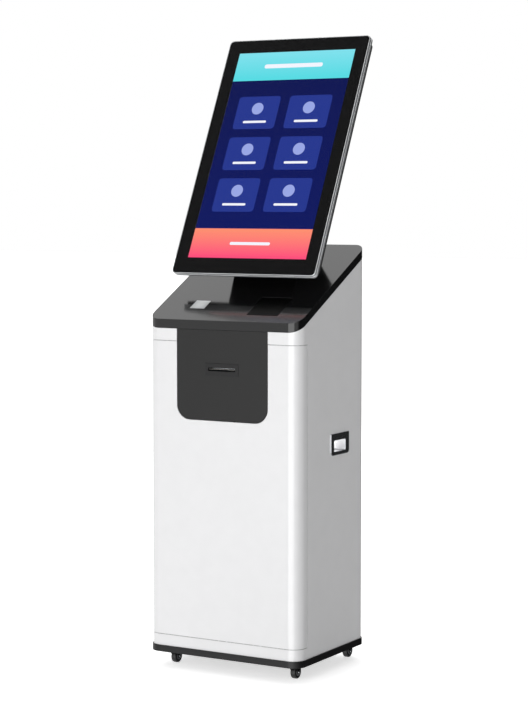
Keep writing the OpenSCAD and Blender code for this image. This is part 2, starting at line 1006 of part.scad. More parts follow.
// Struts, motor disc and shaft that carry the rotor
module fan_spider() {
    cylinder(r = 18, h = 3);
    for (turn = [0 : 90 : 270])
        rotate([0, 0, turn])
            translate([0, -2, 0])
                cube([fan_bore + 1, 4, 3]);
    translate([0, 0, -10])
        cylinder(r = 2, h = 11);
}

module fan_rotor() {
    blades = 7;
    color("#2d2d30")
        translate([0, fan_y, fan_z])
            rotate([90, 0, 0])
                difference() {
                    union() {
                        translate([0, 0, 6])
                            cylinder(r = 17, h = 14);
                        for (blade = [0 : blades - 1])
                            rotate([0, 0, blade * 360 / blades])
                                translate([16, 0, 13])
                                    rotate([35, 0, 0])
                                        translate([0, -11, -0.9])
                                            cube([24, 22, 1.8]);
                    }
                    translate([0, 0, 8])
                        cylinder(r = 2 + run_gap, h = 20);
                }
}

// Inlet socket and switch housing behind one flange
module power_inlet() {
    flange = 2;
    color("#161616") {
        difference() {
            union() {
                span([inlet_x - 24, back_y, inlet_z - 18], [rocker_x + 16, back_y + flange, inlet_z + 18]);
                span([inlet_x - 13.7, back_y - 24, inlet_z - 11.7],
                     [inlet_x + 13.7, back_y + eps, inlet_z + 11.7]);
                span([rocker_x - 10.7, back_y - 20, inlet_z - 13.7],
                     [rocker_x + 10.7, back_y + eps, inlet_z + 13.7]);
            }
            span([inlet_x - 11, back_y - 16, inlet_z - 8], [inlet_x + 11, back_y + 5, inlet_z + 8]);
            span([rocker_x - 8.4, back_y - 18, inlet_z - 12.4], [rocker_x + 8.4, back_y + 5, inlet_z + 12.4]);
        }
        x_rod(rocker_pin, rocker_x - 9, rocker_x + 9, rocker_y, inlet_z);
        for (pin = [-1, 0, 1])
            span([inlet_x + pin * 6 - 1, back_y - 16 - eps, inlet_z - 2],
                 [inlet_x + pin * 6 + 1, back_y - 4, inlet_z + 2]);
    }
}

rocker_pin = 1.5;
rocker_y = back_y - 7;
rocker_tilt = 8;

// Mains rocker, resting with its lower half pressed in
module rocker_switch() {
    color("#b3261e")
        translate([rocker_x, rocker_y, inlet_z])
            rotate([rocker_tilt, 0, 0])
                difference() {
                    intersection() {
                        x_rod(15, -8, 8, -2, 0);
                        span([-8, -5, -10.5], [8, 20, 10.5]);
                    }
                    x_rod(rocker_pin + run_gap, -20, 20, 0, 0);
                }
}

// ---------------------------------------------------------------- casters

fork_top = 37;
fork_plate = 2;
pin_top = 39.8;
tyre_w = 14;
axle_r = 3;
swivel_r = 4;

// Swivel axes: x, y for each corner
front_caster_y = front_y + caster_front;
rear_caster_y = back_y - caster_rear;

module caster_plates() {
    color("#26262a")
        for (sx = [-1, 1], y = [front_caster_y, rear_caster_y])
            translate([sx * caster_x, y, fork_top + 0.5])
                difference() {
                    linear_extrude(height = plinth_z - fork_top - 0.5)
                        rounded_rect(42, 38, 4);
                    translate([0, 0, -1])
                        cylinder(r = swivel_r + run_gap, h = 5);
                }
}

module fork(x, y) {
    leg_in = tyre_w / 2 + 0.8;
    leg_t = 2;
    leg = [
        [-9, fork_top],
        [caster_trail + 6, fork_top],
        [caster_trail + 6, wheel_r],
        [caster_trail - 6, wheel_r],
    ];
    color("#1b1b1d")
        translate([x, y, 0])
            difference() {
                union() {
                    translate([0, 0, fork_top - fork_plate])
                        cylinder(r = 13, h = fork_plate);
                    translate([-leg_in - leg_t, -9, fork_top - fork_plate])
                        cube([2 * (leg_in + leg_t), caster_trail + 15, fork_plate]);
                    translate([0, 0, fork_top - eps])
                        cylinder(r = swivel_r, h = pin_top - fork_top);
                    for (x0 = [-leg_in - leg_t, leg_in]) {
                        translate([x0, 0, 0])
                            rotate([90, 0, 90])
                                linear_extrude(height = leg_t)
                                    polygon(leg);
                        x_rod(6, x0, x0 + leg_t, caster_trail, wheel_r);
                    }
                }
                x_rod(axle_r, -30, 30, caster_trail, wheel_r);
            }
}

module axle(x, y) {
    half = tyre_w / 2 + 2.8;
    color("silver")
        translate([x, y, 0]) {
            x_rod(axle_r, -half - 1, half + 1, caster_trail, wheel_r);
            for (x0 = [-half - 2, half])
                x_rod(axle_r + 1.6, x0, x0 + 2, caster_trail, wheel_r);
        }
}

// Wheel with a rounded tread and a dished hub face
module wheel(x, y) {
    half = tyre_w / 2;
    round_r = 3;
    color("#151515")
        translate([x, y + caster_trail, wheel_r])
            rotate([0, 90, 0])
                rotate_extrude()
                    difference() {
                        union() {
                            translate([axle_r + run_gap, -half])
                                square([wheel_r - round_r - axle_r - run_gap, 2 * half]);
                            translate([axle_r + run_gap, -half + round_r])
                                square([wheel_r - axle_r - run_gap, 2 * (half - round_r)]);
                            for (side = [-1, 1])
                                translate([wheel_r - round_r, side * (half - round_r)])
                                    circle(r = round_r);
                        }
                        for (side = [-1, 1])
                            translate([9, side * half])
                                square([5, 3], center = true);
                    }
}

module fork_front_left() fork(-caster_x, front_caster_y);
module axle_front_left() axle(-caster_x, front_caster_y);
module wheel_front_left() wheel(-caster_x, front_caster_y);
module fork_front_right() fork(caster_x, front_caster_y);
module axle_front_right() axle(caster_x, front_caster_y);
module wheel_front_right() wheel(caster_x, front_caster_y);
module fork_rear_left() fork(-caster_x, rear_caster_y);
module axle_rear_left() axle(-caster_x, rear_caster_y);
module wheel_rear_left() wheel(-caster_x, rear_caster_y);
module fork_rear_right() fork(caster_x, rear_caster_y);
module axle_rear_right() axle(caster_x, rear_caster_y);
module wheel_rear_right() wheel(caster_x, rear_caster_y);

cabinet_shell();
base_plate();
plinth();
top_cap();
cap_support();
front_apron();
equipment_shelf();
handle_frames();
handle_cups();
door_panel();
door_stiffener();
hinge_arms();
door_keeper();
hinge_brackets();
hinge_pins();
lock_housing();
lock_lever();
lever_pin();
key_cylinder();
latch_cam();
scanner_window();
scanner_module();
reader_pad();
reader_module();
slot_bezel();
printer_chassis();
print_head();
platen_roller();
roll_spindle();
paper_roll();
printer_cover();
screen_glass();
lcd_panel();
screen_frame();
screen_tray();
display_board();
neck_bracket();
vesa_screws();
neck_housing();
neck_bolts();
mini_pc();
power_supply();
fan_frame();
fan_rotor();
power_inlet();
rocker_switch();
caster_plates();
fork_front_left();
axle_front_left();
wheel_front_left();
fork_front_right();
axle_front_right();
wheel_front_right();
fork_rear_left();
axle_rear_left();
wheel_rear_left();
fork_rear_right();
axle_rear_right();
wheel_rear_right();
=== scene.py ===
"""Looks of the touchscreen kiosk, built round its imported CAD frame.

Lengths are millimetres until a mesh is made. A Shape collects closed lofts in millimetres, and its
make() turns them into one Blender object that rides on a CAD body. A Finish builds one node material
whose patterns are laid out in object space, also in millimetres.
"""

import math

import bmesh
import bpy
from mathutils import Matrix, Vector


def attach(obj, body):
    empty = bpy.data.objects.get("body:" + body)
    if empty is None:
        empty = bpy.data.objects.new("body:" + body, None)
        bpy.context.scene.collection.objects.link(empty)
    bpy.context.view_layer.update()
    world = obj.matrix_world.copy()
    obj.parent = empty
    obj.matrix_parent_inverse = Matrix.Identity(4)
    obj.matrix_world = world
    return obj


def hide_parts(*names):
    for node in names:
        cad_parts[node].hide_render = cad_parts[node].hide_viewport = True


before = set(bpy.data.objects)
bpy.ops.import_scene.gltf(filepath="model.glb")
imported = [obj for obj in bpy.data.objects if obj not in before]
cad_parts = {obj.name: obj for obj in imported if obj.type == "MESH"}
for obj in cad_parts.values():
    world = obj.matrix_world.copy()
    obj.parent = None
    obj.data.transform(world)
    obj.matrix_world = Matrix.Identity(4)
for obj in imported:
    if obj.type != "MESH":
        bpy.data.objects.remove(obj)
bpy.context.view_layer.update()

MM = 0.001
UP = Vector((0, 0, 1))


# ---------------------------------------------------------------- the CAD frame, in millimetres

def reach(node, at=Matrix.Identity(4)):
    """Low and high corners of a CAD node, measured along the axes of the frame `at`."""
    into = at.inverted()
    points = [into @ (v.co / MM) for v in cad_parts[node].data.vertices]
    low = Vector(min(p[i] for p in points) for i in range(3))
    high = Vector(max(p[i] for p in points) for i in range(3))
    return low, high


def middle(node, at=Matrix.Identity(4)):
    low, high = reach(node, at)
    return (low + high) / 2


def face_frame(node, towards):
    """Frame on a CAD node's largest flat face that looks `towards`.

    x runs across the kiosk, y up the face from its lowest edge, and z stands out of it.
    """
    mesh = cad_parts[node].data
    planes = {}
    for face in mesh.polygons:
        if face.normal.dot(Vector(towards).normalized()) > 0.9 and abs(face.normal.x) < 0.01:
            depth = round(face.center.dot(face.normal) / MM)
            plane = planes.setdefault(depth, {"area": 0, "normal": Vector(), "points": []})
            plane["area"] += face.area
            plane["normal"] += face.normal * face.area
            plane["points"] += [mesh.vertices[i].co / MM for i in face.vertices]
    best = max(planes.values(), key=lambda plane: plane["area"])
    z = best["normal"].normalized()
    x = Vector((1, 0, 0))
    y = z.cross(x)
    lowest = min(best["points"], key=lambda p: p.dot(y))
    xs = [p.x for p in best["points"]]
    origin = Vector(((min(xs) + max(xs)) / 2, lowest.y, lowest.z))
    return Matrix.Translation(origin) @ Matrix((x, y, z)).transposed().to_4x4()


def shift(x=0, y=0, z=0):
    return Matrix.Translation((x, y, z))


def facing(x=0, y=0, z=0, direction=UP):
    """Frame at a point, with its z axis along `direction`."""
    turn = Vector(direction).to_track_quat("Z", "Y").to_matrix().to_4x4()
    return Matrix.Translation((x, y, z)) @ turn


shell_low, shell_high = reach("cabinet_shell")
screen = face_frame("screen_glass", (0, -0.9, 0.44))
slope = face_frame("top_cap", (0, -0.4, 0.9))


# ---------------------------------------------------------------- outlines and solids

def rounded(width, length, radius, x=0, y=0, steps=6):
    """Outline of a rectangle with round corners; outline(grow) is the same one, moved out by `grow`."""
    def outline(grow=0.0):
        r = max(radius + grow, 0.02)
        half_x = width / 2 + grow - r
        half_y = length / 2 + grow - r
        points = []
        for corner, (sx, sy) in enumerate([(1, 1), (-1, 1), (-1, -1), (1, -1)]):
            for step in range(steps + 1):
                angle = math.radians(90 * (corner + step / steps))
                points.append((x + sx * half_x + r * math.cos(angle),
                               y + sy * half_y + r * math.sin(angle), 0))
        return points
    return outline


def disc(radius, x=0, y=0, steps=32):
    def outline(grow=0.0):
        r = max(radius + grow, 0.02)
        turns = [2 * math.pi * step / steps for step in range(steps)]
        return [(x + r * math.cos(turn), y + r * math.sin(turn), 0) for turn in turns]
    return outline


def lifted(loop, z):
    return [(p[0], p[1], p[2] + z) for p in loop]


def quarter(count=4):
    """Sine and cosine pairs through a quarter turn."""
    return [(math.sin(a), math.cos(a)) for a in (math.pi / 2 * i / count for i in range(count + 1))]


class Shape:
    """Closed solids collected in millimetres, made into one Blender object."""

    def __init__(self, at=Matrix.Identity(4)):
        self.at = at
        self.points = []
        self.faces = []

    def loft(self, loops, closed=False, at=Matrix.Identity(4)):
        """Skins loops of equal length; the ends are capped, or joined to each other when closed."""
        first = len(self.points)
        size = len(loops[0])
        rows = len(loops)
        place = self.at @ at
        for loop in loops:
            self.points += [place @ Vector(point) for point in loop]
        for row in range(rows if closed else rows - 1):
            a = first + row * size
            b = first + (row + 1) % rows * size
            for i in range(size):
                j = (i + 1) % size
                self.faces.append((a + i, a + j, b + j, b + i))
        if not closed:
            self.faces.append(tuple(range(first + size - 1, first - 1, -1)))
            self.faces.append(tuple(range(first + (rows - 1) * size, first + rows * size)))
        return self

    def slab(self, outline, z0, z1, edge=0.4, at=Matrix.Identity(4)):
        """Prism between two heights with its edges rounded over by `edge`."""
        loops = [lifted(outline(-edge * (1 - s)), z0 + edge * (1 - c)) for s, c in quarter()]
        loops += [lifted(outline(-edge * (1 - s)), z1 - edge * (1 - c)) for s, c in reversed(quarter())]
        return self.loft(loops, at=at)

    def band(self, outline, profile, at=Matrix.Identity(4)):
        """Closed ring that follows an outline; the profile lists (grow, z) round its section."""
        return self.loft([lifted(outline(grow), z) for grow, z in profile], closed=True, at=at)

    def turn(self, profile, at=Matrix.Identity(4), steps=40):
        """Turned solid; the profile lists (radius, z) from one end of the axis to the other."""
        return self.loft([lifted(disc(r, steps=steps)(), z) for r, z in profile], at=at)

    def screw(self, radius, at):
        """Domed screw head with a hexagon socket, standing on z = 0."""
        def loop(r, z, six=0.0):
            points = []
            for step in range(36):
                angle = 2 * math.pi * step / 36
                flat = math.cos(math.pi / 6) / math.cos(angle % (math.pi / 3) - math.pi / 6)
                reach_out = r * (1 - six + six * flat)
                points.append((reach_out * math.cos(angle), reach_out * math.sin(angle), z))
            return points
        high = 0.55 * radius
        loops = [loop(radius, -0.1), loop(radius, 0.3 * high)]
        loops += [loop(radius * (0.62 + 0.38 * c), high * (0.3 + 0.7 * s)) for s, c in quarter(4)[1:]]
        loops += [loop(0.55 * radius, high, 1), loop(0.5 * radius, high - 0.1, 1)]
        loops += [loop(0.48 * radius, 0.35 * high, 1), loop(0.02, 0.3 * high, 1)]
        return self.loft(loops, at=at)

    def make(self, name, body, slot, finish):
        mesh = bpy.data.meshes.new(name)
        mesh.from_pydata([p * MM for p in self.points], [], self.faces)
        bm = bmesh.new()
        bm.from_mesh(mesh)
        bmesh.ops.recalc_face_normals(bm, faces=bm.faces)
        for face in bm.faces:
            face.smooth = True
        for edge in bm.edges:
            edge.smooth = edge.calc_face_angle(0) < math.radians(34)
        bm.to_mesh(mesh)
        bm.free()
        piece = bpy.data.objects.new(name, mesh)
        bpy.context.scene.collection.objects.link(piece)
        piece.data.materials.append(finish)
        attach(piece, body)
        return piece


def cable(name, body, finish, radius, points):
    """Round lead through the given points, in millimetres."""
    curve = bpy.data.curves.new(name, "CURVE")
    curve.dimensions = "3D"
    curve.bevel_depth = radius * MM
    curve.bevel_resolution = 3
    curve.use_fill_caps = True
    line = curve.splines.new("BEZIER")
    line.resolution_u = 10
    line.bezier_points.add(len(points) - 1)
    for knot, point in zip(line.bezier_points, points):
        knot.co = Vector(point) * MM
        knot.handle_left_type = knot.handle_right_type = "AUTO"
    piece = bpy.data.objects.new(name, curve)
    bpy.context.scene.collection.objects.link(piece)
    curve.materials.append(finish)
    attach(piece, body)
    return piece


# ---------------------------------------------------------------- materials

def tone(text):
    """Linear colour of an sRGB value such as #28282a."""
    values = [int(text[i:i + 2], 16) / 255 for i in (1, 3, 5)]
    return [v / 12.92 if v <= 0.04045 else ((v + 0.055) / 1.055) ** 2.4 for v in values] + [1.0]


class Finish:
    """Node material under construction, with pattern sizes in millimetres."""

    def __init__(self, name, colour, roughness, **inputs):
        self.material = bpy.data.materials.new(name)
        self.material.use_nodes = True
        self.tree = self.material.node_tree
        self.shader = self.tree.nodes["Principled BSDF"]
        self.colour = tone(colour)
        self.where = self.add("TexCoord").outputs["Object"]
        self.set(Base_Color=self.colour, Roughness=roughness, **inputs)

    def feed(self, socket, value):
        if isinstance(value, bpy.types.NodeSocket):
            self.tree.links.new(value, socket)
        else:
            socket.default_value = value

    def add(self, kind, settings=None, **inputs):
        node = self.tree.nodes.new("ShaderNode" + kind)
        for key, value in (settings or {}).items():
            setattr(node, key, value)
        for key, value in inputs.items():
            self.feed(node.inputs[key.replace("_", " ")], value)
        return node

    def set(self, **inputs):
        for key, value in inputs.items():
            self.feed(self.shader.inputs[key.replace("_", " ")], value)
        return self

    def noise(self, size, detail=3.0, stretch=(1, 1, 1)):
        """Cloudy pattern whose lumps are about `size` across, from 0 to 1."""
        place = self.add("Mapping", Vector=self.where, Scale=[1 / (size * MM * s) for s in stretch])
        return self.add("TexNoise", Vector=place.outputs[0], Scale=1.0, Detail=detail).outputs[0]

    def cells(self, size, feature="F1"):
        place = self.add("Mapping", Vector=self.where, Scale=[1 / (size * MM)] * 3)
        node = self.add("TexVoronoi", {"feature": feature}, Vector=place.outputs[0], Scale=1.0)
        return node.outputs["Color" if feature == "F1" else "Distance"]

    def level(self, value, low, high, start=0.0, end=1.0):
        """Maps a value from start..end to low..high."""
        node = self.add("MapRange", Value=value, From_Min=start, From_Max=end, To_Min=low, To_Max=high)
        return node.outputs[0]

    def blend(self, factor, first, second):
        return self.add("MixRGB", Fac=factor, Color1=first, Color2=second).outputs[0]

    def shade(self, factor, amount):
        """Varies the base colour round its own value by plus or minus `amount`."""
        dark = [c * (1 - amount) for c in self.colour[:3]] + [1]
        light = [min(c * (1 + amount), 1) for c in self.colour[:3]] + [1]
        return self.set(Base_Color=self.blend(factor, dark, light))

    def bump(self, height, depth, strength=1.0):
        """Relief of `depth` millimetres from a 0 to 1 pattern, added to any relief set before."""
        below = self.shader.inputs["Normal"].links
        node = self.add("Bump", Height=height, Distance=depth * MM, Strength=strength)
        if below:
            self.feed(node.inputs["Normal"], below[0].from_socket)
        return self.set(Normal=node.outputs[0])


def powder_coat(name, colour, roughness, grain, depth, coat=0.0, sheen=0.5):
    """Sprayed paint: orange-peel relief, faint mottling and a slightly uneven gloss."""
    f = Finish(name, colour, roughness, Coat_Weight=coat, Coat_Roughness=0.12, Specular_IOR_Level=sheen)
    f.shade(f.noise(grain * 30, 2), 0.025)
    f.set(Roughness=f.level(f.noise(90, 4), roughness - 0.05, roughness + 0.05, 0.3, 0.7))
    f.bump(f.noise(grain, 2), depth)
    return f.material


def gloss_moulding(name, colour, roughness, dust=0.05, sheen=0.55):
    """Polished plastic: hairline scratches and a little dust in the gloss."""
    f = Finish(name, colour, roughness, Specular_IOR_Level=sheen)
    hairs = f.noise(1.2, 3, (14, 1, 1))
    f.set(Roughness=f.level(f.noise(60, 5), roughness, roughness + dust, 0.35, 0.75))
    f.bump(hairs, 0.004, 0.4)
    f.bump(f.noise(45, 1), 0.02, 0.25)
    f.shade(f.noise(0.8, 2), 0.15)
    return f.material


def grained_plastic(name, colour, roughness, grain=0.7, depth=0.05, sheen=0.5):
    """Moulded plastic with a fine leathery spark-eroded grain."""
    f = Finish(name, colour, roughness, Specular_IOR_Level=sheen)
    f.shade(f.noise(25, 3), 0.10)
    f.bump(f.cells(grain, "SMOOTH_F1"), depth, 0.7)
    f.set(Roughness=f.level(f.noise(8, 3), roughness - 0.06, roughness + 0.06, 0.3, 0.7))
    return f.material


def zinc_sheet(name, colour="#b4b8bc", roughness=0.34):
    """Galvanised sheet with large pale crystals."""
    f = Finish(name, colour, roughness, Metallic=0.9)
    spangle = f.cells(7)
    f.shade(spangle, 0.14)
    f.set(Roughness=f.level(spangle, roughness - 0.08, roughness + 0.1))
    f.bump(f.noise(0.9, 3), 0.01, 0.6)
    return f.material


def brushed_metal(name, colour, roughness, stretch, metallic=1.0):
    """Metal with fine parallel brush marks along the longest stretch."""
    f = Finish(name, colour, roughness, Metallic=metallic)
    marks = f.noise(0.5, 4, stretch)
    f.shade(marks, 0.12)
    f.set(Roughness=f.level(marks, roughness - 0.06, roughness + 0.08, 0.3, 0.7))
    f.bump(marks, 0.006, 0.5)
    return f.material


def machined_steel(name, colour, roughness, metallic=1.0, oily=0.1):
    f = Finish(name, colour, roughness, Metallic=metallic)
    f.shade(f.noise(5, 4), oily)
    f.set(Roughness=f.level(f.noise(3, 5), roughness - 0.05, roughness + 0.12, 0.3, 0.7))
    f.bump(f.noise(0.4, 2), 0.01, 0.4)
    return f.material


def rubber(name, colour, roughness=0.62):
    """Rubber with dust in its pores and paler scuffs."""
    f = Finish(name, colour, roughness)
    scuffs = f.level(f.noise(4, 5), 0, 1, 0.55, 0.75)
    f.set(Base_Color=f.blend(scuffs, f.colour, [c * 2.2 + 0.01 for c in f.colour[:3]] + [1]))
    f.bump(f.noise(0.6, 3), 0.04, 0.5)
    return f.material


def roll_paper(name):
    """Thermal paper: fine fibres, and wound edges that show as rings on the end faces."""
    f = Finish(name, "#f1efe9", 0.85)
    at = middle("paper_roll")
    centre = f.add("VectorMath", {"operation": "SUBTRACT"})
    f.feed(centre.inputs[0], f.where)
    centre.inputs[1].default_value = (0, at.y * MM, at.z * MM)
    flat = f.add("VectorMath", {"operation": "MULTIPLY"})
    f.feed(flat.inputs[0], centre.outputs[0])
    flat.inputs[1].default_value = (0, 1, 1)
    radius = f.add("VectorMath", {"operation": "LENGTH"})
    f.feed(radius.inputs[0], flat.outputs[0])
    wave = f.add("Math", {"operation": "SINE"})
    turns = f.add("Math", {"operation": "MULTIPLY"})
    f.feed(turns.inputs[0], radius.outputs["Value"])
    turns.inputs[1].default_value = 2 * math.pi / (0.8 * MM)
    f.feed(wave.inputs[0], turns.outputs[0])
    rings = f.level(wave.outputs[0], 0, 1, -1, 1)
    f.shade(rings, 0.05)
    f.bump(rings, 0.03, 0.5)
    f.bump(f.noise(0.7, 4, (1, 3, 1)), 0.02, 0.4)
    return f.material


def circuit_green(name):
    """Board with paler copper tracks under green lacquer."""
    f = Finish(name, "#0f5132", 0.3, Coat_Weight=0.4)
    place = f.add("Mapping", Vector=f.where, Scale=[1 / (3 * MM)] * 3)
    brick = f.add("TexBrick", Vector=place.outputs[0], Scale=1.0, Mortar_Size=0.08,
                  Color1=tone("#0d4a2e"), Color2=tone("#125c3a"), Mortar=tone("#2f8a5c"))
    f.set(Base_Color=brick.outputs[0])
    f.bump(brick.outputs[1], 0.03, 0.5)
    return f.material


def frosted_window(name):
    """Pale scanner pane, whiter towards its middle."""
    f = Finish(name, "#c9cccd", 0.12, Coat_Weight=0.6, Coat_Roughness=0.04)
    at = middle("scanner_window")
    away = f.add("VectorMath", {"operation": "DISTANCE"})
    f.feed(away.inputs[0], f.where)
    away.inputs[1].default_value = at * MM
    fade = f.level(away.outputs["Value"], 0, 1, 8 * MM, 26 * MM)
    f.set(Base_Color=f.blend(fade, tone("#dfe2e2"), tone("#babdbf")))
    f.bump(f.noise(0.35, 2), 0.004, 0.4)
    return f.material


def clear_glass(name):
    """Coated cover glass: lets the picture through and mirrors the room faintly."""
    material = bpy.data.materials.new(name)
    material.use_nodes = True
    tree = material.node_tree
    tree.nodes.clear()
    kinds = ("OutputMaterial", "MixShader", "BsdfTransparent", "BsdfGlossy", "Fresnel", "NewGeometry",
             "Math", "TexNoise", "MapRange", "Math")
    nodes = [tree.nodes.new("ShaderNode" + kind) for kind in kinds]
    out, mix, clear, mirror, fresnel, side, outer, smear, fade, seen = nodes
    clear.inputs[0].default_value = (1, 1, 1, 1)
    fresnel.inputs["IOR"].default_value = 1.2
    smear.inputs["Scale"].default_value = 9.0
    fade.inputs["To Min"].default_value = 0.015
    fade.inputs["To Max"].default_value = 0.05
    outer.operation = "MULTIPLY_ADD"
    outer.inputs[1].default_value = -1
    outer.inputs[2].default_value = 1
    seen.operation = "MULTIPLY"
    tree.links.new(side.outputs["Backfacing"], outer.inputs[0])
    tree.links.new(fresnel.outputs[0], seen.inputs[0])
    tree.links.new(outer.outputs[0], seen.inputs[1])
    tree.links.new(smear.outputs[0], fade.inputs["Value"])
    tree.links.new(fade.outputs[0], mirror.inputs["Roughness"])
    tree.links.new(seen.outputs[0], mix.inputs[0])
    tree.links.new(clear.outputs[0], mix.inputs[1])
    tree.links.new(mirror.outputs[0], mix.inputs[2])
    tree.links.new(mix.outputs[0], out.inputs["Surface"])
    return material


def lit(name, low, high=None, start=0.0, end=1.0):
    """Glowing picture colour from `low` to `high`, between two heights in shares of the picture."""
    f = Finish(name, "#000000", 0.5)
    origin = screen.translation * MM
    axis = screen.to_3x3().col[1]
    along = f.add("VectorMath", {"operation": "DOT_PRODUCT"})
    f.feed(along.inputs[0], f.where)
    along.inputs[1].default_value = axis
    foot = origin.dot(axis)
    panel_low, panel_high = reach("lcd_panel", screen)
    heights = [foot + (panel_low.y + share * (panel_high.y - panel_low.y)) * MM for share in (start, end)]
    share = f.level(along.outputs["Value"], 0, 1, *heights)
    colour = f.blend(share, tone(low), tone(high or low))
    f.set(Emission_Color=colour, Emission_Strength=1.0, Specular_IOR_Level=0.0)
    return f.material


FINISHES = {
    "white_steel": powder_coat("white_powder_coat", "#e9e9ea", 0.36, 1.3, 0.03, 1.0),
    "zinc_steel": zinc_sheet("zinc_sheet"),
    "dark_steel": machined_steel("dark_steel", "#4a4c50", 0.42, 0.8),
    "bright_steel": machined_steel("bright_steel", "#c6c9cc", 0.22),
    "chrome_plate": brushed_metal("chrome_plate", "#d5d7da", 0.14, (1, 6, 6)),
    "flange_plate": brushed_metal("flange_plate", "#bfc1c5", 0.2, (1, 6, 1)),
    "black_paint": gloss_moulding("black_base_paint", "#121213", 0.35, sheen=0.3),
    "gloss_cap": gloss_moulding("gloss_cap", "#0e0e0f", 0.08),
    "charcoal_panel": powder_coat("charcoal_powder_coat", "#1f1f1f", 0.42, 0.9, 0.035, sheen=0.26),
    "silver_cup": brushed_metal("cup_steel", "#f2f2f4", 0.3, (1, 8, 1)),
    "black_plastic": grained_plastic("black_grain", "#101011", 0.38, 0.6, 0.03, 0.3),
    "grey_lever": powder_coat("lever_paint", "#7c7c80", 0.34, 0.8, 0.02, 0.3),
    "scanner_glass": frosted_window("scanner_pane"),
    "reader_gloss": gloss_moulding("reader_gloss", "#030303", 0.3, 0.03, sheen=0.06),
    "module_plastic": grained_plastic("module_grain", "#2b2d31", 0.5),
    "roller_rubber": rubber("roller_rubber", "#1b1b1d"),
    "paper": roll_paper("thermal_paper"),
    "touch_glass": gloss_moulding("printed_border", "#0b0b0c", 0.3, 0.02, sheen=0.1),
    "lcd_face": machined_steel("panel_case", "#8f9296", 0.4, 0.7),
    "silver_frame": brushed_metal("brushed_frame", "#c4c6c8", 0.36, (20, 1, 1), 0.7),
    "tray_steel": powder_coat("tray_powder_coat", "#2b2b2d", 0.5, 1.0, 0.05),
    "circuit_board": circuit_green("circuit_green"),
    "red_rocker": gloss_moulding("red_rocker", "#a5201b", 0.22),
    "caster_steel": gloss_moulding("caster_black", "#0d0d0e", 0.16),
    "caster_tyre": rubber("caster_tyre", "#121213", 0.4),
}
LEAD = grained_plastic("cable_sleeve", "#141415", 0.45, 0.9, 0.03)
SEAL = rubber("seal_rubber", "#a9a9aa", 0.7)


def soften(node, width, angle=32):
    """Rounds a CAD node's sharp edges with modifiers; its own mesh stays as packed."""
    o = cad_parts[node]
    for face in o.data.polygons:
        face.use_smooth = True
    weld = o.modifiers.new("weld", "WELD")
    weld.merge_threshold = 0.01 * MM
    flat = o.modifiers.new("flat", "DECIMATE")
    flat.decimate_type = "DISSOLVE"
    flat.angle_limit = math.radians(0.6)
    edge = o.modifiers.new("edge", "BEVEL")
    edge.width = width * MM
    edge.segments = 2
    edge.limit_method = "ANGLE"
    edge.angle_limit = math.radians(angle)
    even = o.modifiers.new("even", "WEIGHTED_NORMAL")
    even.keep_sharp = False


# Edge radius of each CAD node, in millimetres; the rest take DEFAULT_EDGE
EDGES = {
    "cabinet_shell": 0.5, "door_panel": 0.5, "top_cap": 1.6, "front_apron": 0.9, "plinth": 1.2,
    "neck_housing": 1.8, "handle_frames": 0.7, "handle_cups": 0.5, "slot_bezel": 0.8,
    "screen_tray": 0.8, "lock_housing": 0.4, "lock_lever": 0.9, "mini_pc": 1.0, "power_supply": 0.3,
    "reader_pad": 0.5, "scanner_window": 0.4, "rocker_switch": 0.5, "power_inlet": 0.5,
    "vesa_screws": 0.3, "fan_rotor": 0.3, "fan_frame": 0.6,
}
DEFAULT_EDGE = 0.35


def dress_cad():
    for name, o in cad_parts.items():
        slot = o.material_slots[0].material.name.split(".")[0]
        o.material_slots[0].material = FINISHES[slot]
        soften(name, EDGES.get(name, DEFAULT_EDGE))


# ---------------------------------------------------------------- display

def display_frame():
    """Extruded surround: rounded front bead, shadow groove along the side and a chamfered back."""
    low, high = reach("screen_frame", screen)
    centre = (low + high) / 2
    outer = rounded(high.x - low.x, high.y - low.y, 12, y=centre.y, steps=10)
    front, back = high.z, low.z
    lip = 2.0
    ledge = 8.0
    groove_deep = 1.7
    groove_front = front - 6.2
    groove_back = groove_front - 2.8
    bead = [(-lip + 0.5 * (1 - c), front - 0.5 * (1 - s)) for s, c in quarter(3)]
    nose = [(-1.8 * (1 - s), front - 1.8 * (1 - c)) for s, c in quarter(5)]
    groove = [(0, groove_front + 0.3), (-0.3, groove_front), (-groove_deep, groove_front - 0.4),
              (-groove_deep, groove_back + 0.4), (-0.3, groove_back), (0, groove_back - 0.3)]
    tail = [(0, back + 1.2), (-1.2, back), (-ledge, back)]
    inside = [(-ledge, front - 3.6), (-lip, front - 3.6)]
    piece = Shape(screen).band(outer, bead + nose + groove + tail + inside)
    o = piece.make("display_frame", "cabinet", "silver_frame", FINISHES["silver_frame"])
    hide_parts("screen_frame")


def picture_size():
    """Width, length and centre height of the visible picture on the display."""
    margin = 7.0
    low, high = reach("lcd_panel", screen)
    return high.x - low.x - 2 * margin, high.y - low.y - 2 * margin, (low.y + high.y) / 2


def cover_glass():
    """Thin coated pane over a black printed border."""
    low, high = reach("screen_glass", screen)
    width, length = high.x - low.x, high.y - low.y
    pane = Shape(screen).slab(rounded(width, length, 10, y=(low.y + high.y) / 2, steps=8), -0.9, 0, 0.25)
    o = pane.make("cover_glass", "cabinet", "touch_glass", clear_glass("coated_glass"))
    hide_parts("screen_glass")
    seen_w, seen_l, seen_y = picture_size()
    outer = rounded(width - 0.6, length - 0.6, 9.7, y=(low.y + high.y) / 2, steps=8)(0)
    inner = rounded(seen_w, seen_l, 0.6, y=seen_y, steps=8)(0)
    border = Shape(screen).loft([lifted(outer, -0.95), lifted(inner, -0.95),
                                 lifted(inner, -1.35), lifted(outer, -1.35)], closed=True)
    border.make("glass_border", "cabinet", "touch_glass", FINISHES["touch_glass"])


